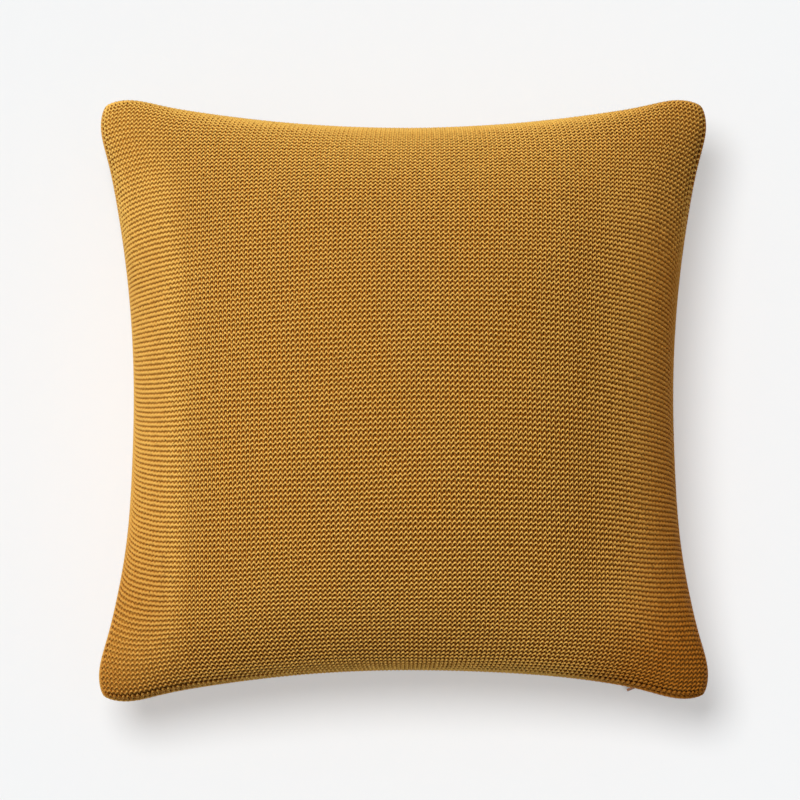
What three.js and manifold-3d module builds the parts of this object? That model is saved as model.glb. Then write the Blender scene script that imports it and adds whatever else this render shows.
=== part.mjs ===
// Knitted cushion cover, filled and plump, lying on its back.
// Millimetres, +Z up, the floor at z = 0. The zipped edge faces -Y.

import * as THREE from "three";
import { mergeVertices } from "three/addons/utils/BufferGeometryUtils.js";
import Module from "manifold-3d";

// Plan of the seam, seen from above
const TIP_HALF = 226; // middle of the cover to its corners before they are rounded
const SIDE_DRAW = 30; // how far the left and right edges pull in half way along
const END_DRAW = 26.7; // how far the near and far edges pull in half way along
const DRAW_POWER = 1.1; // above 1 the pull fades out before the corners
const CORNER_TRIM = 0.0345; // share of the half width that rounds off each tip
const CORNER_POWER = 14; // how tightly that rounding is held to the corner
const ZIP_DRAW = 3.2; // extra pull on the near edge, beside the zip's closed end
const ZIP_DRAW_AT = 0.65; // where along the near edge it is strongest
const ZIP_DRAW_SPREAD = 0.36; // how far it reaches to each side

// Heights
const SEAM_HEIGHT = 72; // seam above the floor, half way along each edge
const CORNER_DROOP = 8; // how much lower the corner tips hang
const SEAM_BAND = 2; // height of the sewn edge
const EDGE_ROLL = 7; // radius that the thick knit rolls over the seam with
const CROWN = 82; // rise of the front above that roll
const BELLY = 85; // drop of the back below it, before the floor flattens it
const CROWN_POWER = 2.2; // fullness of the middle
const EDGE_POWER = 0.67; // steepness at the seam
const FLOOR_SOFTNESS = 12; // over this height the back turns from curved to flat

// Soft swells in the filling: place on the face, rise in millimetres, spread on the face
const SWELLS = [
  { u: -0.45, v: 0.4, rise: 1.6, spread: 0.3 },
  { u: 0.5, v: 0.25, rise: -1.4, spread: 0.25 },
  { u: -0.3, v: -0.5, rise: -1.5, spread: 0.28 },
  { u: 0.35, v: -0.45, rise: 1.5, spread: 0.3 },
];

// Pull tab of the zip: its outer end, and how it lies
const TAB_TIP = { x: 162.1, y: -212.6, z: 62.5 };
const TAB_LENGTH = 18;
const TAB_WIDTH = 5;
const TAB_THICKNESS = 1.5;
const TAB_YAW = THREE.MathUtils.degToRad(20); // away from the X axis, seen from above
const TAB_PITCH = THREE.MathUtils.degToRad(28); // rise from the outer end to the slider
const CLEARANCE = 0.3; // gap round the tab inside the seam

// Facets
const STEPS = 40; // squares across each face
const EDGE_BIAS = 1.45; // radians of sine that crowd the squares towards the seam
const ARC_STEPS = 6;

// Place across the face, -1 to 1, of an even grid step, with smaller steps near the seam.
function spread(step) {
  return Math.sin(EDGE_BIAS * step) / Math.sin(EDGE_BIAS);
}

// Share of the full height at a place across the face: 1 in the middle, 0 at the seam.
function crown(place) {
  return Math.pow(Math.max(1 - Math.pow(Math.abs(place), CROWN_POWER), 0), EDGE_POWER);
}

function bell(distance, width) {
  return Math.exp(-((distance / width) ** 2));
}

// Plan position of a point on the face.
function planPoint(u, v) {
  const trim = 1 - CORNER_TRIM * Math.pow(u * v, CORNER_POWER);
  const halfX = TIP_HALF - SIDE_DRAW * Math.pow(1 - v * v, DRAW_POWER);
  const halfY = TIP_HALF - END_DRAW * Math.pow(1 - u * u, DRAW_POWER);
  const zipDraw = v < 0 ? ZIP_DRAW * v * v * bell(u - ZIP_DRAW_AT, ZIP_DRAW_SPREAD) : 0;
  return { x: u * halfX * trim, y: v * halfY * trim + zipDraw };
}

// Share of the edge roll reached at a place across the face: a quarter circle out from the seam.
function roll(place) {
  const inward = Math.min(((1 - Math.abs(place)) * TIP_HALF) / EDGE_ROLL, 1);
  return Math.sqrt(1 - (1 - inward) ** 2);
}

// The soft meeting of the back with the floor: unchanged above it, flat below.
function settle(height) {
  if (height >= FLOOR_SOFTNESS) return height;
  if (height <= -FLOOR_SOFTNESS) return 0;
  return (height + FLOOR_SOFTNESS) ** 2 / (4 * FLOOR_SOFTNESS);
}

function swell(u, v) {
  return SWELLS.reduce((sum, s) => sum + s.rise * bell(Math.hypot(u - s.u, v - s.v), s.spread), 0);
}

// Height of the front (side 1) or the back (side -1) at a point on the face.
function heightAt(u, v, side) {
  const seam = SEAM_HEIGHT - CORNER_DROOP * u * u * v * v;
  const full = crown(u) * crown(v);
  const edge = SEAM_BAND / 2 + EDGE_ROLL * roll(u) * roll(v);
  if (side > 0) return seam + edge + full * (CROWN + swell(u, v));
  return settle(seam - edge - full * BELLY);
}

function positionsOnly(geometry) {
  geometry.deleteAttribute("normal");
  geometry.deleteAttribute("uv");
  return mergeVertices(geometry, 1e-5);
}

// A box of side 2, its front and back in even squares, pressed to the form of the filled cover.
function filledCoverGeometry() {
  const geometry = positionsOnly(new THREE.BoxGeometry(2, 2, 2, STEPS, STEPS, 1));
  const points = geometry.getAttribute("position");
  for (let i = 0; i < points.count; i += 1) {
    const u = spread(points.getX(i));
    const v = spread(points.getY(i));
    const place = planPoint(u, v);
    points.setXYZ(i, place.x, place.y, heightAt(u, v, points.getZ(i)));
  }
  return geometry;
}

// The tab lies along local X from its outer end, on edge, grown all round by a margin.
function tabGeometry(margin) {
  const radius = TAB_WIDTH / 2 + margin;
  const outline = new THREE.Shape();
  outline.absarc(TAB_WIDTH / 2, 0, radius, Math.PI / 2, (3 * Math.PI) / 2, false);
  outline.absarc(TAB_LENGTH - TAB_WIDTH / 2, 0, radius, -Math.PI / 2, Math.PI / 2, false);
  outline.closePath();
  const depth = TAB_THICKNESS + 2 * margin;
  const geometry = new THREE.ExtrudeGeometry(outline, {
    depth,
    bevelEnabled: false,
    curveSegments: ARC_STEPS,
  });
  return geometry.translate(0, 0, -depth / 2);
}

function placeTab(object) {
  object.position.set(TAB_TIP.x, TAB_TIP.y, TAB_TIP.z);
  object.rotation.set(Math.PI / 2, -TAB_PITCH, TAB_YAW, "ZYX");
  object.updateMatrix();
  return object;
}

const wasm = await Module();
wasm.setup();

function toSolid(geometry) {
  return new wasm.Manifold(
    new wasm.Mesh({
      numProp: 3,
      vertProperties: new Float32Array(geometry.getAttribute("position").array),
      triVerts: new Uint32Array(geometry.getIndex().array),
    }),
  );
}

function toGeometry(solid) {
  const mesh = solid.getMesh();
  const geometry = new THREE.BufferGeometry();
  geometry.setAttribute("position", new THREE.BufferAttribute(mesh.vertProperties, 3));
  geometry.setIndex(new THREE.BufferAttribute(mesh.triVerts, 1));
  return geometry;
}

// The filled cover, with a slot in its seam where the tab comes out.
function coverGeometry() {
  const slot = positionsOnly(tabGeometry(CLEARANCE));
  slot.applyMatrix4(placeTab(new THREE.Object3D()).matrix);
  const geometry = toGeometry(toSolid(filledCoverGeometry()).subtract(toSolid(slot)));
  geometry.computeVertexNormals();
  return geometry;
}

const knit = new THREE.MeshStandardMaterial({ color: "#c08522", roughness: 0.95, metalness: 0 });
const pullFinish = new THREE.MeshStandardMaterial({ color: "#8c5218", roughness: 0.5, metalness: 0 });

const cushionCover = new THREE.Group();

const cover = new THREE.Mesh(coverGeometry(), knit);
cover.name = "cover";
cushionCover.add(cover);

const zipPull = placeTab(new THREE.Mesh(tabGeometry(0), pullFinish));
zipPull.name = "zip_pull";
cushionCover.add(zipPull);

export default cushionCover;
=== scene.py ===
"""Knitted cushion cover, filled and plump, lying on its back.

The padded form carries ridges of purl stitches, each ridge a wavy yarn of its own.
The two panels are sewn together all round the edge, and the pull tab of the hidden
zip shows at the near edge.
"""

import math

import bmesh
import bpy
import numpy as np
from mathutils import Matrix, Vector


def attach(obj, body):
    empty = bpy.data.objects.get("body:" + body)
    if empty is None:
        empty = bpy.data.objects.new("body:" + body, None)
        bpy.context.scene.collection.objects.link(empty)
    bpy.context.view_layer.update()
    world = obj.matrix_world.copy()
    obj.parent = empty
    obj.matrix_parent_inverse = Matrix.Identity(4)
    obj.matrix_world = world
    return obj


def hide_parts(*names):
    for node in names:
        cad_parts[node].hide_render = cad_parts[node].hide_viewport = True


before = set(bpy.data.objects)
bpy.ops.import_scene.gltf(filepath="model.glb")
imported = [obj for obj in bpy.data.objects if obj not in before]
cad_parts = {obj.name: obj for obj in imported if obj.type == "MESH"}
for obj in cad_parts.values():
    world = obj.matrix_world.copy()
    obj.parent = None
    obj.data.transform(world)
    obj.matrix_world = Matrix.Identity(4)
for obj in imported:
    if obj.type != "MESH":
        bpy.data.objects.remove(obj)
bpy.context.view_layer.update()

bl_info = {
    "name": "Knitted cushion cover",
    "version": (1, 0, 0),
    "blender": (4, 5, 0),
    "location": "3D View > Sidebar > Cushion",
    "description": "Makes a filled, purl-knitted cushion cover with its stage",
    "category": "Object",
}

MM = 0.001
TURN = 2 * math.pi

# The two faces of the cushion, as the sign of their height from the seam
FRONT = 1
BACK = -1

# Maps of a mesh: one for the finished colours, and one that counts the stitches
BAKE_MAP = "OFBake"
STITCH_MAP = "Stitches"

# Edges of the cushion
EDGES = 4

# Start of every row of random draws
SEED = 11


def length(name, description, default):
    """A size in metres that a user may change."""
    return bpy.props.FloatProperty(
        name=name, description=description, default=default, unit="LENGTH", precision=5
    )


def number(name, description, default):
    """A plain number that a user may change."""
    return bpy.props.FloatProperty(name=name, description=description, default=default)


def angle(name, description, degrees):
    """An angle that a user may change, given in degrees."""
    return bpy.props.FloatProperty(
        name=name, description=description, default=math.radians(degrees), subtype="ANGLE"
    )


def count(name, description, default):
    """A whole number that a user may change."""
    return bpy.props.IntProperty(name=name, description=description, default=default, min=1)


def colour(name, description, default):
    """A linear colour that a user may change."""
    return bpy.props.FloatVectorProperty(
        name=name, description=description, default=default, subtype="COLOR", size=3, min=0, max=1
    )


class CushionForm(bpy.types.PropertyGroup):
    """Sizes of the filled cover."""

    tip_half: length("Half width at the tips", "Half the width before the tips are rounded", 0.226)
    side_draw: length("Side pull", "How far the left and right edges pull in", 0.030)
    end_draw: length("End pull", "How far the near and far edges pull in", 0.0267)
    draw_power: number("Pull fade", "How soon the pull fades towards the corners", 1.1)
    corner_trim: number("Corner rounding", "Share of the half width that rounds a tip", 0.042)
    corner_power: number("Corner tightness", "How tightly the rounding keeps to the tip", 11.4)
    ear: length("Corner ears", "How far the edges swell just before a corner", 0.0025)
    ear_at: number("Ear place", "Where along an edge the swelling is fullest", 0.88)
    ear_spread: number("Ear spread", "How far it reaches along the edge", 0.10)
    waist: length("Waist", "Extra side pull nearer to the near edge", 0.0022)
    waist_at: number("Waist place", "Where along the sides it is strongest", -0.5)
    waist_spread: number("Waist spread", "How far it reaches along the sides", 0.25)
    zip_draw: length("Zip pull-in", "Extra pull beside the closed end of the zip", 0.0032)
    zip_draw_at: number("Zip pull-in place", "Where along the near edge it is strongest", 0.65)
    zip_draw_spread: number("Zip pull-in spread", "How far it reaches to each side", 0.36)
    seam_height: length("Seam height", "Seam above the floor half way along an edge", 0.072)
    corner_droop: length("Corner droop", "How much lower the tips hang", 0.008)
    seam_band: length("Seam band", "Height of the sewn edge", 0.002)
    edge_roll: length("Edge roll", "Radius with which the knit rolls over the seam", 0.007)
    crown: length("Crown", "Rise of the front above the roll", 0.082)
    belly: length("Belly", "Drop of the back below the roll", 0.085)
    crown_power: number("Fullness", "Fullness of the middle", 2.2)
    edge_power: number("Edge steepness", "How steeply the cloth leaves the seam", 0.67)
    floor_softness: length("Floor softness", "Height over which the back turns flat", 0.012)


class KnitSizes(bpy.types.PropertyGroup):
    """How the knitting is laid out over the form."""

    stitches: count("Stitches", "Stitches across each panel", 134)
    ridges: count("Ridges", "Ridges up each panel", 127)
    front_parts: count("Front pieces", "Pieces that the ridges of the front are split into", 3)
    back_parts: count("Back pieces", "Pieces that the ridges of the back are split into", 2)
    front_segments: count("Front segments", "Yarn segments in a stitch on the front", 4)
    back_segments: count("Back segments", "Yarn segments in a stitch on the back", 3)
    front_sides: count("Front yarn sides", "Sides of the yarn on the front", 4)
    back_sides: count("Back yarn sides", "Sides of the yarn on the back", 3)
    yarn_radius: length("Yarn radius", "Half the width of the yarn", 0.00074)
    yarn_height: length("Yarn height", "Half the height of the yarn", 0.0011)
    bead: number("Beading", "How much thicker the yarn is at its tops and troughs", 0.22)
    wave: number("Wave", "Swing of a ridge to each side, in ridge spacings", 0.28)
    lift: length("Lift", "How much higher the tops lie than the troughs", 0.0002)
    dip: length("Dip", "How deep the yarn dips between a top and a trough", 0.0006)
    fall: length("Fall", "How much deeper it dips where it falls than where it rises", 0.0002)
    calm: number("Side calm", "Share of its relief that the knit loses at the left and right", 0.75)
    left_calm: number("Left calm", "Where towards the left the calm begins", 0.68)
    right_calm: number("Right calm", "Where towards the right the calm begins", 0.55)
    left_spread: number("Left calm spread", "How far on it is full", 0.14)
    right_spread: number("Right calm spread", "The same at the right", 0.3)
    calm_end: number("Calm end", "How far up the sides the calm lasts", 0.85)
    calm_fade: number("Calm fade", "Share of the face over which it fades there", 0.5)
    calm_start: number("Calm start", "How far down the sides the calm reaches", 0.97)
    calm_start_fade: number("Calm start fade", "Share of the face over which it fades there", 0.3)
    left_width: number("Left calm width", "How much wider the calm yarn lies at the left", 1.25)
    right_width: number("Right calm width", "The same at the right", 0.95)
    calm_rise: number("Calm ground rise", "Share of its depth that the calm ground loses", 0.42)
    calm_wave: number("Calm wave", "Share of the swing that is left in the calm", 0.4)
    seam_radius: length("Seam yarn", "Radius of the yarn that sews the edges", 0.0014)
    # Painted shade on the seam yarn, darker again towards the right.
    seam_painted_shading: number("Seam brightness", "0 as dull as the flanks, 1 as bright as the tops", 0.5)
    edge_row: number("Edge row", "Place of the row beside the seam, which is at 1", 0.9972)
    # Painted light: the ground is coloured paler towards the left and right.
    left_painted_light: number("Left paling", "How pale the ground grows at the left", 0.8)
    left_painted_light_from: number("Left paling from", "Where towards the left it begins", 0.62)
    right_painted_light: number("Right paling", "How pale the ground grows at the right", 0.5)
    right_painted_light_from: number("Right paling from", "Where towards the right it begins", 0.7)
    painted_light_spread: number("Paling spread", "How far on it is full", 0.26)
    # Painted shade: the yarn is coloured darker where it dips.
    shade: number("Shade", "How much duller the yarn is where it dips", 0.55)
    # Painted shade: the yarn is coloured darker at the calm left, towards the right, towards the near
    # edge and at the near corners.
    left_painted_shade: number("Left dulling", "How much duller the calm yarn is at the left", 0.4)
    right_painted_shade: number("Right dulling", "How much duller the yarn grows towards the right", 0.62)
    right_painted_shade_from: number("Right dulling from", "Where across the face it begins", 0.46)
    right_painted_shade_spread: number("Right dulling spread", "How far on it is full", 0.5)
    right_painted_shade_far: number("Right dulling at the far end", "Share of it that is left there", 0.35)
    near_painted_shade: number("Near dulling", "How much duller it grows towards the near edge", 0.2)
    corner_painted_shade: number("Corner dulling", "How much more it dulls at the near corners", 0.34)
    skin_depth: length("Ground depth", "Depth of the ground below the tops of the yarn", 0.0022)
    # Painted light: the right leg of a stitch is coloured paler than the left.
    leg_painted_light_bias: number("Leg bias", "How much paler the right leg of a stitch is than the left", 0.5)
    skin_rows: count("Ground rows", "Rows of faces up each side of the ground", 90)
    sway: length("Sway", "Slow drift of the ridges", 0.0005)
    jitter: length("Unevenness", "Uneven placing of single stitches", 0.00016)
    ease_across: number("Ease across", "How the stitches even out towards the ends", 1.54)
    ease_along: number("Ease along", "How the ridges even out towards the sides", 1.31)
    far_gather: number("Far gather", "Drawing together of the stitches at the far edge", 0.095)
    near_gather: number("Near gather", "The same at the near edge", 0.18)
    left_gather: number("Left gather", "Drawing together of the ridges at the left edge", 0.16)
    right_gather: number("Right gather", "The same at the right edge", 0.127)
    end_reach: number("End gather reach", "How close to the edge the gather keeps", 0.55)
    side_reach: number("Side gather reach", "How close to the edge the gather keeps", 0.79)
    left_slip: number("Left slip", "How much higher the ridges meet the left edge", 0.056)
    right_slip: number("Right slip", "How much lower they meet the right edge", 0.045)
    crimp: number("Crimp", "Closer stitches where the cloth bends down", 0.10)
    drift_x: number("Drift across", "Shift of the middle stitches to the right", -0.013)
    drift_y: number("Drift up", "Shift of the middle ridges to the far edge", 0.028)
    skew_x: number("Skew across", "Extra shift of the stitches towards the far edge", -0.008)
    skew_y: number("Skew up", "Extra shift of the ridges towards the right", 0.017)


class TabSizes(bpy.types.PropertyGroup):
    """Sizes and place of the zip's pull tab."""

    length: length("Length", "End to end", 0.018)
    width: length("Width", "Across its flat faces", 0.005)
    thickness: length("Thickness", "Between its flat faces", 0.0015)
    rim: length("Rim", "Width of the raised rim", 0.0007)
    sink: length("Sink", "Depth of the panel inside the rim", 0.0003)
    soft_edge: length("Edge softness", "Width of the rounding of its edges", 0.0002)
    x: length("Outer end across", "Place of the outer end", 0.1621)
    y: length("Outer end along", "Place of the outer end", -0.2126)
    z: length("Outer end height", "Place of the outer end", 0.0625)
    yaw: angle("Yaw", "Away from the X axis, seen from above", 20)
    pitch: angle("Pitch", "Rise from the outer end to the slider", 28)


class YarnColours(bpy.types.PropertyGroup):
    """Colours of the yarn, the ground below it and the zip's pull tab. The yarn and ground colours
    carry painted light and shade.
    """

    # Lit and shaded copies of the one yarn colour: painted light on the tops, painted shade on the
    # flanks.
    top: colour("Yarn top", "Yarn where the light reaches it", (0.96, 0.62, 0.15))
    flank: colour("Yarn flank", "Yarn between two tops", (0.45, 0.166, 0.015))
    # Ground colours: the depth painted dark as painted shade, the legs painted darker than the yarn
    # tops as shade, and the sides painted paler as painted light.
    leg: colour("Leg", "Legs of the stitches, which dip to the other side", (0.55, 0.225, 0.025))
    pale: colour("Pale ground", "Depth between the rows at the left and right", (0.5, 0.25, 0.042))
    painted_deep_shade: colour("Ground", "Depth between the stitches", (0.055, 0.010, 0.001))
    tab: colour("Pull tab", "Lacquered pull tab of the zip", (0.22, 0.07, 0.008))


class StageSettings(bpy.types.PropertyGroup):
    """Floor, light and camera."""

    floor: colour("Floor", "Colour of the floor", (0.85, 0.85, 0.85))
    fill: number("Fill light", "Strength of the light from all round", 0.14)
    left_colour: colour("Left light colour", "Very nearly white", (1.0, 1.0, 0.97))
    far_colour: colour("Far light colour", "A little warm", (1.0, 0.9, 0.75))
    left_light: number("Left light", "Strength of the slanting light from the left", 1.85)
    left_tilt: angle("Left light tilt", "From straight above", 50)
    left_softness: angle("Left light softness", "Angle that the light fills", 50)
    far_light: number("Far light", "Strength of the light from the far side", 1.9)
    far_tilt: angle("Far light tilt", "From straight above", 35)
    far_heading: angle("Far light heading", "Turn of its rays from rightwards", -80)
    far_softness: angle("Far light softness", "Angle that the light fills", 60)
    floor_light: number("Floor light", "Strength of the high light on the floor", 1.5)
    floor_tilt: angle("Floor light tilt", "From straight above", 17.5)
    floor_heading: angle("Floor light heading", "Turn of its rays from rightwards", -42)
    floor_softness: angle("Floor light softness", "Angle that the light fills", 29)
    floor_colour: colour("Floor light colour", "Cool, against the cushion's glow", (0.975, 0.99, 1.0))
    floor_fill: number("Floor fill", "Strength of the floor's light from the camera's side", 1.57)
    fill_softness: angle("Floor fill softness", "Angle that the light fills", 4)
    elevation: angle("Camera elevation", "Above the floor", 81)
    distance: length("Camera distance", "Camera to the middle of the cushion", 9.0)
    view_width: length("View width", "Width of the picture at the cushion", 0.5816)
    aim_x: length("Aim across", "Centre of the picture, across", -0.00254)
    aim_z: length("Aim height", "Height of the point that the camera turns to", 0.064)


SETTINGS = {
    "cushion_form": CushionForm,
    "cushion_knit": KnitSizes,
    "cushion_tab": TabSizes,
    "cushion_colours": YarnColours,
    "cushion_stage": StageSettings,
}


# The form of the filled cover. A place (u, v) on a face runs from -1 to 1 across and up it.

# Soft swells in the filling
SWELLS = (
    {"u": -0.45, "v": 0.4, "rise": 1.6 * MM, "spread": 0.3},
    {"u": 0.5, "v": 0.25, "rise": -1.4 * MM, "spread": 0.25},
    {"u": -0.3, "v": -0.5, "rise": -1.5 * MM, "spread": 0.28},
    {"u": 0.35, "v": -0.45, "rise": 1.5 * MM, "spread": 0.3},
)


def bell(distance, width):
    """1 at no distance, falling to nothing over about twice the width."""
    return np.exp(-((distance / width) ** 2))


def smooth_step(share):
    """A share kept between 0 and 1, with a soft start and end."""
    share = np.clip(share, 0, 1)
    return share * share * (3 - 2 * share)


def crown_share(form, place):
    """Share of the full height at a place across the face: 1 in the middle, 0 at the seam."""
    return np.maximum(1 - np.abs(place) ** form.crown_power, 0) ** form.edge_power


def roll_share(form, place):
    """Share of the edge roll: a quarter circle out from the seam."""
    inward = np.minimum((1 - np.abs(place)) * form.tip_half / form.edge_roll, 1)
    return np.sqrt(np.maximum(1 - (1 - inward) ** 2, 0))


def plan_point(form, u, v):
    """Plan position of a place on the face."""
    trim = 1 - form.corner_trim * np.abs(u * v) ** form.corner_power
    half_x = form.tip_half - form.side_draw * np.maximum(1 - v * v, 0) ** form.draw_power
    half_y = form.tip_half - form.end_draw * np.maximum(1 - u * u, 0) ** form.draw_power
    half_x = half_x + form.ear * bell(np.abs(v) - form.ear_at, form.ear_spread)
    half_x = half_x - form.waist * bell(v - form.waist_at, form.waist_spread)
    half_y = half_y + form.ear * bell(np.abs(u) - form.ear_at, form.ear_spread)
    zip_draw = form.zip_draw * v * v * bell(u - form.zip_draw_at, form.zip_draw_spread)
    return u * half_x * trim, v * half_y * trim + np.where(v < 0, zip_draw, 0)


def swell(u, v):
    """Rise of the filling's swells at a place on the face."""
    total = 0
    for s in SWELLS:
        total = total + s["rise"] * bell(np.hypot(u - s["u"], v - s["v"]), s["spread"])
    return total


def height_at(form, u, v, side):
    """Height of the front or the back at a place on the face."""
    seam = form.seam_height - form.corner_droop * u * u * v * v
    full = crown_share(form, u) * crown_share(form, v)
    edge = form.seam_band / 2 + form.edge_roll * roll_share(form, u) * roll_share(form, v)
    if side == FRONT:
        return seam + edge + full * (form.crown + swell(u, v))
    height = seam - edge - full * form.belly
    soft = form.floor_softness
    settled = np.clip(height + soft, 0, None) ** 2 / (4 * soft)
    return np.where(height >= soft, height, settled)


# The knitting laid over the form. A stitch place (s, t) runs from -1 to 1 across and up a panel.

# Points at which the length of the cloth is measured, from the middle to the seam
CLOTH_POINTS = 600

# Where between the middle and the seam the cloth bends down most, and how far that reaches
BEND_AT = 0.8
BEND_SPREAD = 0.12

# Step to the neighbouring stitch places that give the outward direction
NORMAL_STEP = 0.002

# Waves that add up to the slow drift of the ridges: turns for a unit of s and of t, and a shift
LONG_DRIFT = (5.1, 3.7)
SHORT_DRIFT = (11.3, -6.1)
SHORT_SHIFT = 1.3
UPWARD_DRIFT = 9.7


def even_places(form, knit, half):
    """Places across the face at even lengths of cloth from the middle to the seam."""
    place = np.sin(np.linspace(0, math.pi / 2, CLOTH_POINTS))
    rise = form.edge_roll * roll_share(form, place) + form.crown * crown_share(form, place)
    middle = (place[1:] + place[:-1]) / 2
    steps = np.hypot(np.diff(place) * half, np.diff(rise))
    steps = steps * (1 + knit.crimp * bell(middle - BEND_AT, BEND_SPREAD))
    along = np.concatenate([[0], np.cumsum(steps)])
    return along / along[-1], place


def even_place(table, share):
    """Place across the face at a share of the cloth, looked up in a table of even places."""
    return np.sign(share) * np.interp(np.abs(share), table[0], table[1])


def face_place(form, knit, s, t):
    """Place (u, v) on the face of a stitch place."""
    across = even_places(form, knit, form.tip_half - form.side_draw)
    along = even_places(form, knit, form.tip_half - form.end_draw)
    inside = (1 - s * s) * (1 - t * t)
    s, t = (
        s + (knit.drift_x + knit.skew_x * t) * inside,
        t + (knit.drift_y + knit.skew_y * s) * inside,
    )
    full_s, full_t = crown_share(form, s), crown_share(form, t)
    u = s + (even_place(across, s) - s) * full_t**knit.ease_across
    v = t + (even_place(along, t) - t) * full_s**knit.ease_along
    end_gather = np.where(t > 0, knit.far_gather, knit.near_gather)
    end_pull = 1 - full_t**knit.end_reach
    u = u - end_gather * end_pull * s * (1 - s * s)
    side_gather = np.where(s < 0, knit.left_gather, knit.right_gather)
    slip = np.where(s < 0, knit.left_slip, -knit.right_slip)
    side_pull = 1 - full_s**knit.side_reach
    v = v + (slip * side_pull - side_gather * t) * side_pull * (1 - t * t)
    return np.clip(u, -1, 1), np.clip(v, -1, 1)


def cloth_point(form, knit, s, t, side):
    """Point of the outer surface at a stitch place."""
    u, v = face_place(form, knit, s, t)
    x, y = plan_point(form, u, v)
    return np.stack([x, y, height_at(form, u, v, side)], axis=-1)


def unit(vectors):
    """Directions of vectors, with nothing divided by zero."""
    smallest = 1e-12
    return vectors / np.maximum(np.linalg.norm(vectors, axis=-1, keepdims=True), smallest)


def cloth_normal(form, knit, s, t, side):
    """Outward direction at a stitch place, taken a little inside the seam."""
    step = NORMAL_STEP
    s, t = np.clip(s, step - 1, 1 - step), np.clip(t, step - 1, 1 - step)
    across = cloth_point(form, knit, s + step, t, side) - cloth_point(form, knit, s - step, t, side)
    along = cloth_point(form, knit, s, t + step, side) - cloth_point(form, knit, s, t - step, side)
    return unit(np.cross(across, along)) * side


def sunk_point(form, knit, s, t, side, depth):
    """Point at a depth below the outer surface."""
    point = cloth_point(form, knit, s, t, side)
    return point - cloth_normal(form, knit, s, t, side) * depth


def side_calm(knit, s, t):
    """How far the knit is pulled smooth: 0 over most of the face, 1 at its left and right."""
    begin = np.where(s < 0, knit.left_calm, knit.right_calm)
    spread = np.where(s < 0, knit.left_spread, knit.right_spread)
    reach = smooth_step((np.abs(s) - begin) / spread)
    reach = reach * smooth_step((knit.calm_start + t) / knit.calm_start_fade)
    return reach * smooth_step((knit.calm_end - t) / knit.calm_fade)


def ridge_calm(knit, ridge, across):
    """The calm of the ridges, numbered from the near edge, at each stitch across."""
    t = -1 + 2 * (ridge + 0.5) / knit.ridges
    return side_calm(knit, -1 + 2 * across[None, :] / knit.stitches, t)


def ridge_widths(knit, ridge, segments):
    """Half the width of the yarn at each ring: beads at the tops, wider at the calm sides."""
    across = np.arange(knit.stitches * segments + 1) / segments
    calm = ridge_calm(knit, ridge, across)
    bead = knit.bead * np.cos(2 * TURN * across) * (1 - knit.calm * calm)
    wider = np.where(across < knit.stitches / 2, knit.left_width, knit.right_width)
    return knit.yarn_radius * (1 + bead + wider * calm)


def right_painted_shade_reach(knit, s):
    """How far the painted shade has darkened the yarn towards the right: 0 over most of the face,
    then up to 1.
    """
    return smooth_step((s - knit.right_painted_shade_from) / knit.right_painted_shade_spread)


def brightness_after_painted_shade(knit, s, t, calm):
    """Share of its brightness that the yarn keeps under painted shade: darker at both sides and
    towards the near edge.
    """
    farwards = smooth_step((t - knit.calm_end + knit.calm_fade) / knit.calm_fade)
    rightwards = right_painted_shade_reach(knit, s) * (1 - (1 - knit.right_painted_shade_far) * farwards)
    # Painted shade at the calm left and towards the right, then towards the near edge and its
    # corners.
    dull = knit.left_painted_shade * calm * (s < 0) + knit.right_painted_shade * rightwards
    nearwards = np.clip(-t, 0, 1) ** 2
    near = nearwards * (knit.near_painted_shade + knit.corner_painted_shade * s**4)
    return (1 - dull) * (1 - near)


def slow_drift(s, t):
    """Drift of the ridges up and down the face, between -2 and 2."""
    long = np.sin(LONG_DRIFT[0] * s + LONG_DRIFT[1] * t)
    short = np.sin(SHORT_DRIFT[0] * s + SHORT_DRIFT[1] * t + SHORT_SHIFT)
    return long + short * np.cos(UPWARD_DRIFT * t)


def ridge_rows(form, knit, ridge, side, segments, rng):
    """Paths of a column of ridges, their outward directions and how bright each place is painted:
    painted shade where the yarn dips, towards the sides and towards the near edge.
    """
    across = np.arange(knit.stitches * segments + 1) / segments
    calm = ridge_calm(knit, ridge, across)
    swing = 1 - (1 - knit.calm_wave) * calm
    wave = np.cos(TURN * across)
    s = np.broadcast_to(-1 + 2 * across / knit.stitches, calm.shape)
    t = -1 + 2 * (ridge + 0.5 + knit.wave * wave * swing) / knit.ridges
    t = t + knit.sway / form.tip_half * slow_drift(s, t)
    uneven = rng.normal(0, 1, (2, *s.shape)) * knit.jitter / form.tip_half
    s, t = np.clip(s + uneven[0], -1, 1), np.clip(t + uneven[1], -1, 1)
    falling = np.sin(TURN * across)
    sunk = knit.lift * (0.5 - 0.5 * wave) + knit.dip * falling**2 + knit.fall * falling / 2
    sunk = sunk * (1 - knit.calm * calm)
    outward = cloth_normal(form, knit, s, t, side)
    path = cloth_point(form, knit, s, t, side) - outward * (knit.yarn_height + sunk)[..., None]
    # Painted shade: the yarn is coloured darker where it dips between its tops and troughs.
    painted_shading = 1 - knit.shade * sunk / (knit.dip + knit.fall / 2 + knit.lift / 2)
    return path, outward, painted_shading * brightness_after_painted_shade(knit, s, t, calm)


# Mesh helpers

# Half the width of a flat grid before it is shaped
GRID_HALF = 0.5

# Points closer than this are one
MERGE_DISTANCE = 1e-7

# Painted light and shade round the yarn: its brightness half way up its sides, and how far its lit
# top and shaded bottom depart from it
SIDE_PAINTED_BRIGHTNESS = 0.7
PAINTED_TOP_RISE = 0.3


def finished_mesh(bm, name):
    """The mesh of a bmesh, which is freed."""
    mesh = bpy.data.meshes.new(name)
    bm.to_mesh(mesh)
    bm.free()
    return mesh


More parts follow.
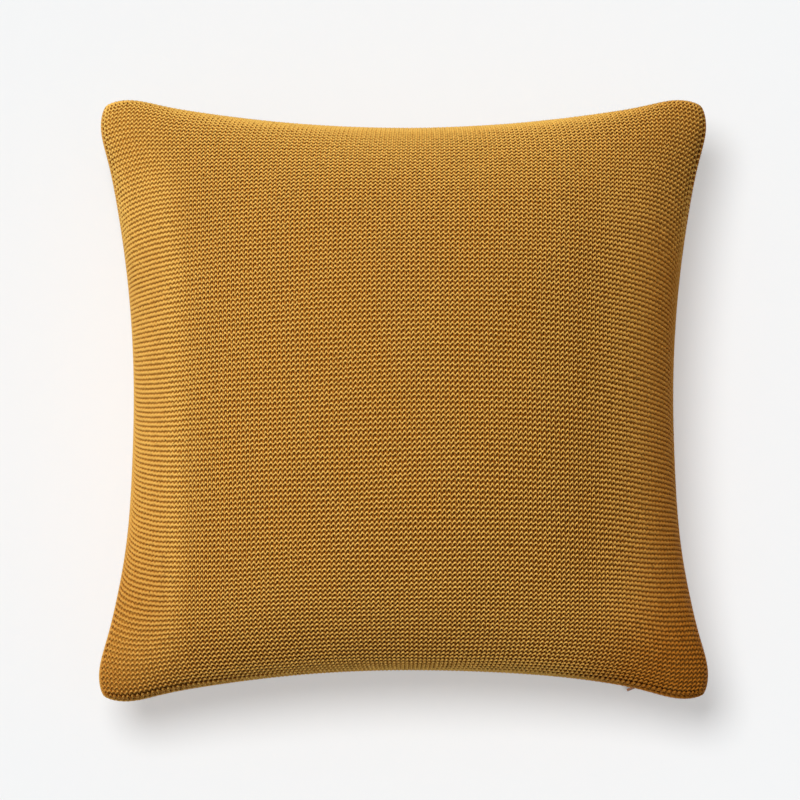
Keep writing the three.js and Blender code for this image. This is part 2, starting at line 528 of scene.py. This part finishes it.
def vertex_places(mesh):
    """Places of the vertices, a row for each."""
    places = np.empty(len(mesh.vertices) * 3, np.float32)
    mesh.vertices.foreach_get("co", places)
    return places.reshape(-1, 3)


def grid_indices(mesh, columns, rows):
    """Column and row of each vertex of a flat grid."""
    share = (vertex_places(mesh)[:, :2] + GRID_HALF) / (2 * GRID_HALF)
    return np.rint(share * (columns - 1, rows - 1)).astype(int).T


def place_vertices(mesh, points):
    """Moves the vertices to their points."""
    mesh.vertices.foreach_set("co", np.ascontiguousarray(points, np.float32).ravel())
    mesh.update()


def add_point_value(mesh, name, values):
    """Gives each vertex a value that a material can read by name."""
    layer = mesh.attributes.new(name, "FLOAT", "POINT")
    layer.data.foreach_set("value", np.ascontiguousarray(values, np.float32))


def add_stitch_map(mesh, across, along):
    """Copies the bake map into one that counts stitches across and ridges up."""
    uv = np.empty(len(mesh.loops) * 2, np.float32)
    mesh.uv_layers[BAKE_MAP].data.foreach_get("uv", uv)
    uv = uv.reshape(-1, 2) * (across, along)
    mesh.uv_layers.new(name=STITCH_MAP).data.foreach_set("uv", uv.astype(np.float32).ravel())


def strip_mesh(columns, tubes, ring):
    """A flat grid with a bake map, cut into strips of ring rows of points, one for each tube."""
    bm = bmesh.new()
    bm.loops.layers.uv.new(BAKE_MAP)
    steps = tubes * ring - 1
    bmesh.ops.create_grid(
        bm, x_segments=columns - 1, y_segments=steps, size=GRID_HALF, calc_uvs=True
    )
    gaps = []
    for face in bm.faces:
        row = int((face.calc_center_median().y + GRID_HALF) / (2 * GRID_HALF) * steps)
        if row % ring == ring - 1:
            gaps.append(face)
    bmesh.ops.delete(bm, geom=gaps, context="FACES_ONLY")
    edges = [edge for edge in bm.edges if not edge.link_faces]
    bmesh.ops.delete(bm, geom=edges, context="EDGES")
    return finished_mesh(bm, "tubes")


def tube_mesh(path, outward, width, height, sides, painted_shading):
    """Tubes along the rows of path. painted_shading is the painted brightness of each ring, before
    its sides are painted lighter on top and darker below.
    """
    tubes, columns, _ = path.shape
    ring = sides + 1
    mesh = strip_mesh(columns, tubes, ring)
    column, row = grid_indices(mesh, columns, tubes * ring)
    tube, corner = row // ring, row % ring % sides
    ahead = np.gradient(path, axis=1)
    aside = unit(np.cross(outward, ahead))
    odd_turn = math.pi * (sides % 2)
    turned = TURN * corner / sides - math.pi / 2 + odd_turn
    across, up = np.cos(turned)[:, None], np.sin(turned)[:, None]
    width = np.broadcast_to(width, (tubes, columns))[tube, column, None]
    centre = path[tube, column]
    points = centre + aside[tube, column] * across * width + outward[tube, column] * up * height
    # Painted light on the top of each tube and painted shade down its sides.
    add_point_value(mesh, "painted_shading", (SIDE_PAINTED_BRIGHTNESS + PAINTED_TOP_RISE * up[:, 0]) * painted_shading[tube, column])
    place_vertices(mesh, points)
    return mesh


def close_tubes(mesh):
    """Merges the meeting sides of the tubes, closes their ends and faces them outwards."""
    most_sides = 8
    bm = bmesh.new()
    bm.from_mesh(mesh)
    bmesh.ops.remove_doubles(bm, verts=bm.verts, dist=MERGE_DISTANCE)
    ends = [edge for edge in bm.edges if edge.is_boundary]
    bmesh.ops.holes_fill(bm, edges=ends, sides=most_sides)
    bmesh.ops.recalc_face_normals(bm, faces=bm.faces)
    bm.to_mesh(mesh)
    bm.free()


def new_piece(name, mesh, material):
    """A finished piece of the cushion."""
    mesh.name = name
    mesh.shade_smooth()
    mesh.materials.append(material)
    piece = bpy.data.objects.new(name, mesh)
    bpy.context.scene.collection.objects.link(piece)
    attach(piece, "root")
    return piece


# Materials

# Sockets of a Mix node that hold a mix of two colours
MIX_FACTOR = 0
MIX_LOW = 6
MIX_HIGH = 7
MIX_RESULT = 2

# Painted brightness at which the yarn takes its shaded flank colour, and its lit top colour
SHADED_FLANK_AT = 0.15
LIT_TOP_AT = 0.85

# Uneven dye: its patches for each stitch, their detail, and how far they shift the colour
DYE_SCALE = 0.6
DYE_DETAIL = 3
DYE_SHIFT = 0.3

# Twisted plies: how closely they follow each other, and their relief
PLY_SCALE = 1.1
PLY_STRENGTH = 0.25
PLY_HEIGHT = 0.15 * MM


def new_material(name, roughness, specular):
    """A material with its nodes and its shader, whose plain values are set on its sockets."""
    material = bpy.data.materials.new(name)
    material.use_nodes = True
    shader = material.node_tree.nodes["Principled BSDF"]
    shader.inputs["Roughness"].default_value = roughness
    shader.inputs["Specular IOR Level"].default_value = specular
    return material, material.node_tree, shader


def feed(tree, socket, value):
    """Links a socket to another socket, or sets it to a plain value."""
    if isinstance(value, bpy.types.NodeSocket):
        tree.links.new(value, socket)
    else:
        socket.default_value = value


def add_node(tree, kind, inputs):
    """A node whose named inputs are fed by sockets or plain values."""
    node = tree.nodes.new(kind)
    for name, value in inputs.items():
        feed(tree, node.inputs[name], value)
    return node


def add_group(tree, group, inputs):
    """A node that places a node group, fed as add_node does."""
    node = tree.nodes.new("ShaderNodeGroup")
    node.node_tree = group
    for name, value in inputs.items():
        feed(tree, node.inputs[name], value)
    return node


def mesh_value(tree, name):
    """The values that the vertices of a mesh carry under a name."""
    node = tree.nodes.new("ShaderNodeAttribute")
    node.attribute_name = name
    return node.outputs["Fac"]


def math_node(tree, operation, *values):
    """A maths node fed by sockets or plain numbers."""
    node = tree.nodes.new("ShaderNodeMath")
    node.operation = operation
    for socket, value in zip(node.inputs, values):
        feed(tree, socket, value)
    return node.outputs[0]


def colour_mix(tree, factor, low, high):
    """A colour between two, each of them a socket or a colour."""
    node = tree.nodes.new("ShaderNodeMix")
    node.data_type = "RGBA"
    feed(tree, node.inputs[MIX_FACTOR], factor)
    feed(tree, node.inputs[MIX_LOW], low)
    feed(tree, node.inputs[MIX_HIGH], high)
    return node.outputs[MIX_RESULT]


def opaque(tint):
    """A colour with full cover."""
    return (*tint, 1)


def paler(tint, gain):
    """A colour gain times as bright, with full cover."""
    return opaque(min(part * gain, 1) for part in tint)


def new_group(name, inputs, outputs):
    """A shader node group, with the names and kinds of its sockets."""
    tree = bpy.data.node_groups.new(name, "ShaderNodeTree")
    for socket, kind in inputs.items():
        tree.interface.new_socket(socket, in_out="INPUT", socket_type="NodeSocket" + kind)
    for socket, kind in outputs.items():
        tree.interface.new_socket(socket, in_out="OUTPUT", socket_type="NodeSocket" + kind)
    given = tree.nodes.new("NodeGroupInput").outputs
    result = tree.nodes.new("NodeGroupOutput").inputs
    return tree, given, result


def yarn_group():
    """Colour of the yarn: painted shade and light by how high it stands, from the shaded flank colour
    to the lit top colour, with uneven dye along the ridges.
    """
    tree, given, result = new_group(
        "Dyed yarn with painted shade",
        {"Top": "Color", "Flank": "Color", "Painted shading": "Float", "Stitch": "Vector"},
        {"Colour": "Color", "Ply": "Float"},
    )
    limits = {"From Min": SHADED_FLANK_AT, "From Max": LIT_TOP_AT}
    shade = add_node(tree, "ShaderNodeMapRange", {"Value": given["Painted shading"], **limits})
    shade.interpolation_type = "SMOOTHSTEP"
    patches = {"Vector": given["Stitch"], "Scale": DYE_SCALE, "Detail": DYE_DETAIL}
    dye = add_node(tree, "ShaderNodeTexNoise", patches)
    uneven = math_node(tree, "MULTIPLY_ADD", dye.outputs["Fac"], DYE_SHIFT, -DYE_SHIFT / 2)
    # Painted shade and light by height, with the uneven dye added.
    height = math_node(tree, "ADD", shade.outputs["Result"], uneven)
    feed(tree, result["Colour"], colour_mix(tree, height, given["Flank"], given["Top"]))
    twist = add_node(
        tree, "ShaderNodeTexWave", {"Vector": given["Stitch"], "Scale": PLY_SCALE}
    )
    twist.bands_direction = "DIAGONAL"
    feed(tree, result["Ply"], twist.outputs["Fac"])
    return tree


def knit_material(colours):
    """Cotton yarn: matt, painted lighter on its tops and darker on its flanks and dips, with its
    plies showing.
    """
    material, tree, shader = new_material("Knit yarn", roughness=0.8, specular=0.12)
    stitch = tree.nodes.new("ShaderNodeUVMap")
    stitch.uv_map = STITCH_MAP
    values = {
        "Top": opaque(colours.top),
        "Flank": opaque(colours.flank),
        "Painted shading": mesh_value(tree, "painted_shading"),
        "Stitch": stitch.outputs["UV"],
    }
    yarn = add_group(tree, yarn_group(), values)
    relief = {"Strength": PLY_STRENGTH, "Distance": PLY_HEIGHT, "Height": yarn.outputs["Ply"]}
    bump = add_node(tree, "ShaderNodeBump", relief)
    feed(tree, shader.inputs["Base Color"], yarn.outputs["Colour"])
    feed(tree, shader.inputs["Normal"], bump.outputs["Normal"])
    return material


def leg_group():
    """Two legs in every stitch: how far a place lies on one of them."""
    tree, given, result = new_group(
        "Stitch legs", {"Stitch": "Float", "Bias": "Float"}, {"Leg": "Float"}
    )
    turn = math_node(tree, "MULTIPLY", given["Stitch"], TURN)
    twice = math_node(tree, "COSINE", math_node(tree, "MULTIPLY", turn, 2))
    leg = math_node(tree, "MULTIPLY_ADD", twice, -0.5, 0.5)
    # Painted light: one leg of each stitch is coloured paler than the other, by the bias.
    one_side = math_node(tree, "MULTIPLY", math_node(tree, "SINE", turn), given["Bias"])
    leg = math_node(tree, "MULTIPLY", leg, math_node(tree, "ADD", one_side, 1))
    feed(tree, result["Leg"], leg)
    return tree


def ground_material(knit, colours):
    """The depth between the ridges, coloured as painted shade: paler where the legs of the stitches
    pass, one leg painted lighter than the other, and painted light at the sides.
    """
    material, tree, shader = new_material("Knit ground with painted shade", roughness=0.9, specular=0.05)
    values = {"Bias": knit.leg_painted_light_bias, "Stitch": mesh_value(tree, "stitch")}
    legs = add_group(tree, leg_group(), values)
    painted_deep_shade = colour_mix(tree, legs.outputs["Leg"], opaque(colours.painted_deep_shade), opaque(colours.leg))
    ground = colour_mix(tree, mesh_value(tree, "pale"), painted_deep_shade, opaque(colours.pale))
    feed(tree, shader.inputs["Base Color"], ground)
    return material


def grain_group():
    """A colour that turns paler in fine grains."""
    tree, given, result = new_group(
        "Grain",
        {"Plain": "Color", "Paler": "Color", "Place": "Vector", "Scale": "Float", "Share": "Float"},
        {"Colour": "Color"},
    )
    grains = {"Vector": given["Place"], "Scale": given["Scale"]}
    noise = add_node(tree, "ShaderNodeTexNoise", grains)
    share = math_node(tree, "MULTIPLY", noise.outputs["Fac"], given["Share"])
    feed(tree, result["Colour"], colour_mix(tree, share, given["Plain"], given["Paler"]))
    return tree


def grained_material(name, plain, roughness, specular, scale, gain, share):
    """A plain colour with a share of grains, as fine as scale says and gain times as bright."""
    material, tree, shader = new_material(name, roughness, specular)
    place = tree.nodes.new("ShaderNodeTexCoord")
    values = {
        "Plain": opaque(plain),
        "Paler": paler(plain, gain),
        "Place": place.outputs["Object"],
        "Scale": scale,
        "Share": share,
    }
    grain = add_group(tree, bpy.data.node_groups.get("Grain") or grain_group(), values)
    feed(tree, shader.inputs["Base Color"], grain.outputs["Colour"])
    return material


# Pieces

# How far apart the sheets of the ground lie, to each side, until they are joined and shaped
SHEET_OFFSET = 0.1

# The yarn that sews the edge: its points for each stitch, its sides and its swing
SEAM_POINTS = 4
SEAM_SIDES = 4
SEAM_SWING = 0.6 * MM

# The tab: facets of its round ends and edges, and what counts as a flat face and a sharp edge
ROUND_FACETS = 10
EDGE_FACETS = 2
ROUND_SHARE = 0.999
FLAT_ENOUGH = 0.9
SHARP_ANGLE = math.radians(60)
TINY = 1e-6


def make_skin(form, knit, colours):
    """The padded form below the yarn: two sheets joined all round, the ground of the knit, coloured
    with painted shade.
    """
    bm = bmesh.new()
    for side in (FRONT, BACK):
        made = bmesh.ops.create_grid(
            bm, x_segments=knit.stitches, y_segments=knit.skin_rows, size=GRID_HALF
        )
        for vert in made["verts"]:
            vert.co.z = SHEET_OFFSET * side
    rims = [edge for edge in bm.edges if edge.is_boundary]
    bmesh.ops.bridge_loops(bm, edges=rims)
    bmesh.ops.recalc_face_normals(bm, faces=bm.faces)
    mesh = finished_mesh(bm, "skin")
    flat = vertex_places(mesh)
    s, t = np.clip(flat[:, 0] / GRID_HALF, -1, 1), np.clip(flat[:, 1] / GRID_HALF, -1, 1)
    points = np.empty((len(flat), 3))
    for side in (FRONT, BACK):
        own = np.sign(flat[:, 2]) == side
        depth = knit.skin_depth * (1 - knit.calm_rise * side_calm(knit, s[own], t[own]))
        points[own] = sunk_point(form, knit, s[own], t[own], side, depth[:, None])
    add_point_value(mesh, "stitch", (s + 1) / 2 * knit.stitches)
    # Painted light: the ground is coloured paler towards the left and right.
    pale = knit.left_painted_light * smooth_step((-s - knit.left_painted_light_from) / knit.painted_light_spread)
    pale += knit.right_painted_light * smooth_step((s - knit.right_painted_light_from) / knit.painted_light_spread)
    add_point_value(mesh, "pale", pale)
    place_vertices(mesh, points)
    piece = new_piece("cover_skin", mesh, ground_material(knit, colours))
    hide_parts("cover")


def make_yarn(name, colours, stitches, path, outward, width, height, sides, painted_shading):
    """A piece of yarns along the rows of path, each with its number of stitches."""
    mesh = tube_mesh(path, outward, width, height, sides, painted_shading)
    add_stitch_map(mesh, stitches, len(path))
    close_tubes(mesh)
    material = bpy.data.materials.get("Knit yarn") or knit_material(colours)
    piece = new_piece(name, mesh, material)


def make_knit(form, knit, colours, side):
    """The ridges of one side, in a few pieces."""
    name, parts, segments, sides = {
        FRONT: ("front", knit.front_parts, knit.front_segments, knit.front_sides),
        BACK: ("back", knit.back_parts, knit.back_segments, knit.back_sides),
    }[side]
    rng = np.random.default_rng(SEED + side)
    bounds = np.linspace(0, knit.ridges, parts + 1).round().astype(int)
    for part, (first, last) in enumerate(zip(bounds[:-1], bounds[1:]), 1):
        ridge = np.arange(first, last)[:, None]
        path, outward, painted_shading = ridge_rows(form, knit, ridge, side, segments, rng)
        shape = (ridge_widths(knit, ridge, segments), knit.yarn_height, sides)
        make_yarn(f"knit_{name}_{part}", colours, knit.stitches, path, outward, *shape, painted_shading)


def make_seam(form, knit, colours):
    """Linking yarn that sews the two panels together all round."""
    edge = np.linspace(-1, 1, knit.stitches * SEAM_POINTS, endpoint=False)
    ones = np.ones_like(edge)
    s = np.concatenate([edge, ones, -edge, -ones])
    t = np.concatenate([-ones, edge, ones, -edge])
    s, t = np.append(s, s[0]), np.append(t, t[0])
    front = cloth_point(form, knit, s, t, FRONT)
    back = cloth_point(form, knit, s, t, BACK)
    middle = (front + back) / 2
    along = unit(np.gradient(middle, axis=0))
    outward = unit(np.cross(along, np.array([0.0, 0.0, 1.0])))
    path = middle - outward * knit.seam_radius
    path[:, 2] += np.sin(TURN * np.arange(len(s)) / SEAM_POINTS) * SEAM_SWING
    # Painted shade on the seam yarn, darker towards the right.
    painted_shading = knit.seam_painted_shading * (1 - knit.right_painted_shade * right_painted_shade_reach(knit, s))
    stitches = knit.stitches * EDGES
    shape = (knit.seam_radius, knit.seam_radius, SEAM_SIDES)
    make_yarn("edge_seam", colours, stitches, path[None], outward[None], *shape, painted_shading[None])


def make_edge_rows(form, knit, colours):
    """The last ridge of each panel at the near and far edges, close beside the seam."""
    segments, sides = knit.front_segments, knit.front_sides
    t = np.array([[-knit.edge_row], [knit.edge_row]])
    ridge = (t + 1) / 2 * knit.ridges - 0.5
    rng = np.random.default_rng(SEED)
    rows = [ridge_rows(form, knit, ridge, side, segments, rng) for side in (FRONT, BACK)]
    path, outward, painted_shading = (np.concatenate(part) for part in zip(*rows))
    widths = np.tile(ridge_widths(knit, ridge, segments), (2, 1))
    shape = (widths, knit.yarn_height, sides)
    make_yarn("edge_rows", colours, knit.stitches, path, outward, *shape, painted_shading)


def round_off(bm, edges, offset, facets):
    """Rounds sharp edges."""
    bmesh.ops.bevel(
        bm, geom=edges, offset=offset, affect="EDGES", segments=facets, profile=0.5, material=-1
    )


def rounded_plate(tab):
    """A flat bar along X from the origin, with round ends and a sunk panel on both faces."""
    bm = bmesh.new()
    bmesh.ops.create_cube(bm, size=1)
    bmesh.ops.scale(bm, vec=(tab.length, tab.width, tab.thickness), verts=bm.verts)
    bmesh.ops.translate(bm, vec=(tab.length / 2, 0, 0), verts=bm.verts)
    corners = [edge for edge in bm.edges if abs((edge.verts[0].co - edge.verts[1].co).z) > TINY]
    round_off(bm, corners, tab.width / 2 * ROUND_SHARE, ROUND_FACETS)
    bmesh.ops.remove_doubles(bm, verts=bm.verts, dist=TINY)
    faces = [face for face in bm.faces if abs(face.normal.z) > FLAT_ENOUGH]
    bmesh.ops.inset_individual(bm, faces=faces, thickness=tab.rim, depth=0)
    bmesh.ops.inset_individual(bm, faces=faces, thickness=tab.rim / 2, depth=-tab.sink)
    rims = [edge for edge in bm.edges if edge.calc_face_angle(0) > SHARP_ANGLE]
    round_off(bm, rims, tab.soft_edge, EDGE_FACETS)
    bmesh.ops.recalc_face_normals(bm, faces=bm.faces)
    return bm


def make_tab(tab, colours):
    """The zip's pull tab, on edge, rising from its outer end into the seam."""
    bm = rounded_plate(tab)
    place = (
        Matrix.Translation((tab.x, tab.y, tab.z))
        @ Matrix.Rotation(tab.yaw, 4, "Z")
        @ Matrix.Rotation(-tab.pitch, 4, "Y")
        @ Matrix.Rotation(math.pi / 2, 4, "X")
    )
    bmesh.ops.transform(bm, matrix=place, verts=bm.verts)
    lacquer = grained_material(
        "Lacquered tab", colours.tab, roughness=0.35, specular=0.5, scale=1200, gain=1.8, share=0.5
    )
    piece = new_piece("pull_tab", finished_mesh(bm, "tab"), lacquer)
    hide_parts("zip_pull")


# Stage

# The floor: half its width, and how far it lies below the cushion
FLOOR_HALF = 4
FLOOR_DROP = 0.2 * MM

# The camera: width of its sensor in millimetres, and how far it sees in metres
SENSOR_WIDTH = 36
SIGHT = 100


def make_floor(stage):
    """A plain pale floor with the faintest grain."""
    bm = bmesh.new()
    bmesh.ops.create_grid(bm, x_segments=1, y_segments=1, size=FLOOR_HALF)
    mesh = finished_mesh(bm, "floor")
    plain = grained_material(
        "Floor", stage.floor, roughness=0.9, specular=0.1, scale=60, gain=1.01, share=1
    )
    mesh.materials.append(plain)
    floor = bpy.data.objects.new("floor", mesh)
    floor.location.z = -FLOOR_DROP
    bpy.context.scene.collection.objects.link(floor)
    return floor


def receivers(name, objects):
    """A group of objects that a light may be kept to."""
    group = bpy.data.collections.new(name)
    for item in objects:
        group.objects.link(item)
    return group


def make_sun(name, strength, tilt, heading, softness, lit, tint):
    """A soft sun. Its rays run downwards, leaning by tilt towards heading."""
    lamp = bpy.data.lights.new(name, "SUN")
    lamp.energy = strength
    lamp.angle = softness
    lamp.color = tint
    sun = bpy.data.objects.new(name, lamp)
    lean = math.sin(tilt)
    rays = Vector((lean * math.cos(heading), lean * math.sin(heading), -math.cos(tilt)))
    sun.rotation_euler = rays.to_track_quat("-Z", "Y").to_euler()
    sun.light_linking.receiver_collection = lit
    bpy.context.scene.collection.objects.link(sun)


def make_lights(stage, floor):
    """Light from the left and the far side for the knit, high and even light for the floor."""
    scene = bpy.context.scene
    scene.view_settings.view_transform = "Standard"
    world = bpy.data.worlds.new("Studio")
    world.use_nodes = True
    background = world.node_tree.nodes["Background"]
    background.inputs["Color"].default_value = (1, 1, 1, 1)
    background.inputs["Strength"].default_value = stage.fill
    scene.world = world
    made = [item for item in scene.objects if item.type == "MESH" and item != floor]
    cushion = receivers("Lit cushion", made)
    ground = receivers("Lit floor", [floor])
    rightwards, away = 0, math.pi / 2
    camera_tilt = math.pi / 2 - stage.elevation
    left = (stage.left_light, stage.left_tilt, rightwards, stage.left_softness)
    far = (stage.far_light, stage.far_tilt, stage.far_heading, stage.far_softness)
    high = (stage.floor_light, stage.floor_tilt, stage.floor_heading, stage.floor_softness)
    fill = (stage.floor_fill, camera_tilt, away, stage.fill_softness)
    make_sun("Left light", *left, cushion, stage.left_colour)
    make_sun("Far light", *far, cushion, stage.far_colour)
    make_sun("Floor light", *high, ground, stage.floor_colour)
    make_sun("Floor fill", *fill, ground, stage.floor_colour)


def make_camera(stage):
    """A long lens from above, a little towards the near edge."""
    data = bpy.data.cameras.new("Camera")
    data.sensor_width = SENSOR_WIDTH
    data.lens = data.sensor_width * stage.distance / stage.view_width
    data.clip_end = SIGHT
    back = Vector((0, -math.cos(stage.elevation), math.sin(stage.elevation)))
    camera = bpy.data.objects.new("Camera", data)
    camera.location = Vector((stage.aim_x, 0, stage.aim_z)) + back * stage.distance
    camera.rotation_euler = (-back).to_track_quat("-Z", "Y").to_euler()
    bpy.context.scene.collection.objects.link(camera)
    bpy.context.scene.camera = camera


# Operators


class CUSHION_OT_skin(bpy.types.Operator):
    """Make the padded form of the filled cover"""

    bl_idname = "cushion.skin"
    bl_label = "Padded form"

    def execute(self, context):
        scene = context.scene
        make_skin(scene.cushion_form, scene.cushion_knit, scene.cushion_colours)
        return {"FINISHED"}


class CUSHION_OT_front(bpy.types.Operator):
    """Knit the front panel"""

    bl_idname = "cushion.front"
    bl_label = "Front panel"

    def execute(self, context):
        scene = context.scene
        make_knit(scene.cushion_form, scene.cushion_knit, scene.cushion_colours, FRONT)
        return {"FINISHED"}


class CUSHION_OT_back(bpy.types.Operator):
    """Knit the back panel"""

    bl_idname = "cushion.back"
    bl_label = "Back panel"

    def execute(self, context):
        scene = context.scene
        make_knit(scene.cushion_form, scene.cushion_knit, scene.cushion_colours, BACK)
        return {"FINISHED"}


class CUSHION_OT_seam(bpy.types.Operator):
    """Sew the panels together round the edge"""

    bl_idname = "cushion.seam"
    bl_label = "Edge seam"

    def execute(self, context):
        scene = context.scene
        make_seam(scene.cushion_form, scene.cushion_knit, scene.cushion_colours)
        make_edge_rows(scene.cushion_form, scene.cushion_knit, scene.cushion_colours)
        return {"FINISHED"}


class CUSHION_OT_tab(bpy.types.Operator):
    """Finish the pull tab of the zip"""

    bl_idname = "cushion.tab"
    bl_label = "Zip pull tab"

    def execute(self, context):
        make_tab(context.scene.cushion_tab, context.scene.cushion_colours)
        return {"FINISHED"}


class CUSHION_OT_stage(bpy.types.Operator):
    """Set up the floor, the light and the camera"""

    bl_idname = "cushion.stage"
    bl_label = "Stage"

    def execute(self, context):
        stage = context.scene.cushion_stage
        floor = make_floor(stage)
        make_lights(stage, floor)
        make_camera(stage)
        return {"FINISHED"}


class CUSHION_PT_panel(bpy.types.Panel):
    """Buttons that make the cushion, in order"""

    bl_label = "Knitted cushion cover"
    bl_idname = "CUSHION_PT_panel"
    bl_space_type = "VIEW_3D"
    bl_region_type = "UI"
    bl_category = "Cushion"

    def draw(self, context):
        for operator in OPERATORS:
            self.layout.operator(operator.bl_idname)


OPERATORS = (
    CUSHION_OT_skin,
    CUSHION_OT_front,
    CUSHION_OT_back,
    CUSHION_OT_seam,
    CUSHION_OT_tab,
    CUSHION_OT_stage,
)
CLASSES = (*SETTINGS.values(), *OPERATORS, CUSHION_PT_panel)


def register():
    """Adds the settings and the buttons."""
    for item in CLASSES:
        bpy.utils.register_class(item)
    for name, group in SETTINGS.items():
        setattr(bpy.types.Scene, name, bpy.props.PointerProperty(type=group))


def unregister():
    """Takes the settings and the buttons away."""
    for name in SETTINGS:
        delattr(bpy.types.Scene, name)
    for item in reversed(CLASSES):
        bpy.utils.unregister_class(item)


def main():
    """Makes the whole cushion and its stage."""
    register()
    bpy.ops.cushion.skin()
    bpy.ops.cushion.front()
    bpy.ops.cushion.back()
    bpy.ops.cushion.seam()
    bpy.ops.cushion.tab()
    bpy.ops.cushion.stage()


if __name__ == "__main__":
    main()
